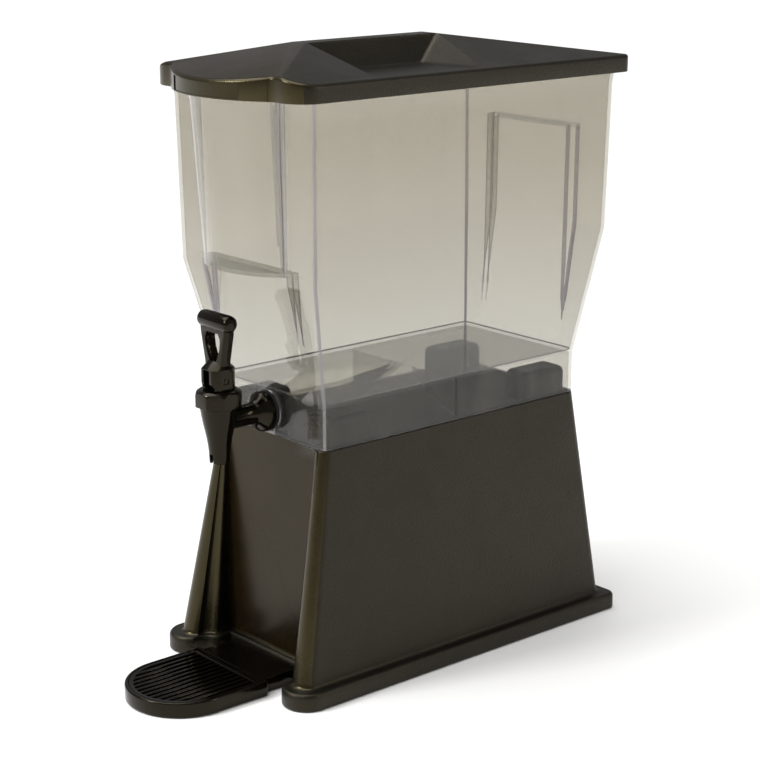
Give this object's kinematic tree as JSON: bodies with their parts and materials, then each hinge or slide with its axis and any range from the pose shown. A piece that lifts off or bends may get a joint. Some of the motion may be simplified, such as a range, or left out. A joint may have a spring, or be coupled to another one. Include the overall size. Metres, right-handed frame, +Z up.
{
  "type": "beverage dispenser",
  "caption": "Countertop gravity beverage dispenser: clear bow-front reservoir on a black hollow stand, hipped lid, pull-handle faucet and slide-in drip tray.",
  "frame": {"origin": "on the counter, under the middle of the whole footprint including the drip tray", "axes": "+Z up, -Y towards the user: the faucet and drip tray side, X across, symmetric about X = 0"},
  "size_m": [0.1928, 0.446, 0.506],
  "materials": {
    "grained_black": "fine moulded grain, satin",
    "gloss_black": "moulded gloss",
    "clear_polycarbonate": "clear moulded, polished, faint warm tint",
    "black_rubber": "matt",
    "silicone": "translucent white, matt",
    "stainless": "turned, bright"
  },
  "bodies": {
    "stand": {"base": "grained_black", "foot_front_left": "black_rubber", "foot_front_right": "black_rubber", "foot_rear_left": "black_rubber", "foot_rear_right": "black_rubber"},
    "tank": {"reservoir": "clear_polycarbonate", "faucet_body": "gloss_black", "faucet_bonnet": "gloss_black", "outer_washer": "black_rubber", "inner_washer": "black_rubber", "shank_nut": "gloss_black", "spring_washer": "gloss_black", "closing_spring": "stainless"},
    "lid": {"lid": "grained_black"},
    "tray": {"drip_tray": "gloss_black"},
    "grate": {"drip_grate": "gloss_black"},
    "valve": {"valve_stem": "stainless", "seat_cup": "silicone", "handle_pin": "gloss_black"},
    "handle": {"faucet_handle": "gloss_black"}
  },
  "joints": [
    {"name": "reservoir_lift", "type": "slide", "parent": "stand", "child": "tank", "axis": [0, 0, 1], "range_m": [0, 0.04]},
    {"name": "lid_lift", "type": "slide", "parent": "tank", "child": "lid", "axis": [0, 0, 1], "range_m": [0, 0.05]},
    {"name": "tray_slide", "type": "slide", "parent": "stand", "child": "tray", "axis": [0, -1, 0], "range_m": [0, 0.03]},
    {"name": "grate_lift", "type": "slide", "parent": "tray", "child": "grate", "axis": [0, 0, 1], "range_m": [0, 0.03]},
    {"name": "valve_lift", "type": "slide", "parent": "tank", "child": "valve", "axis": [0, 0, 1], "range_m": [0, 0.0028], "deforming": ["closing_spring"]},
    {"name": "handle_tilt", "type": "hinge", "parent": "valve", "child": "handle", "pos_m": [0, -0.13605, 0.2526], "axis": [1, 0, 0], "range_deg": [0, 40], "stiffness_Nm_per_rad": 0.25, "springref_deg": -34.38}
  ],
  "couplings": [
    {"joint": "valve_lift", "follows": "handle_tilt", "m_per_rad": 0.004}
  ]
}
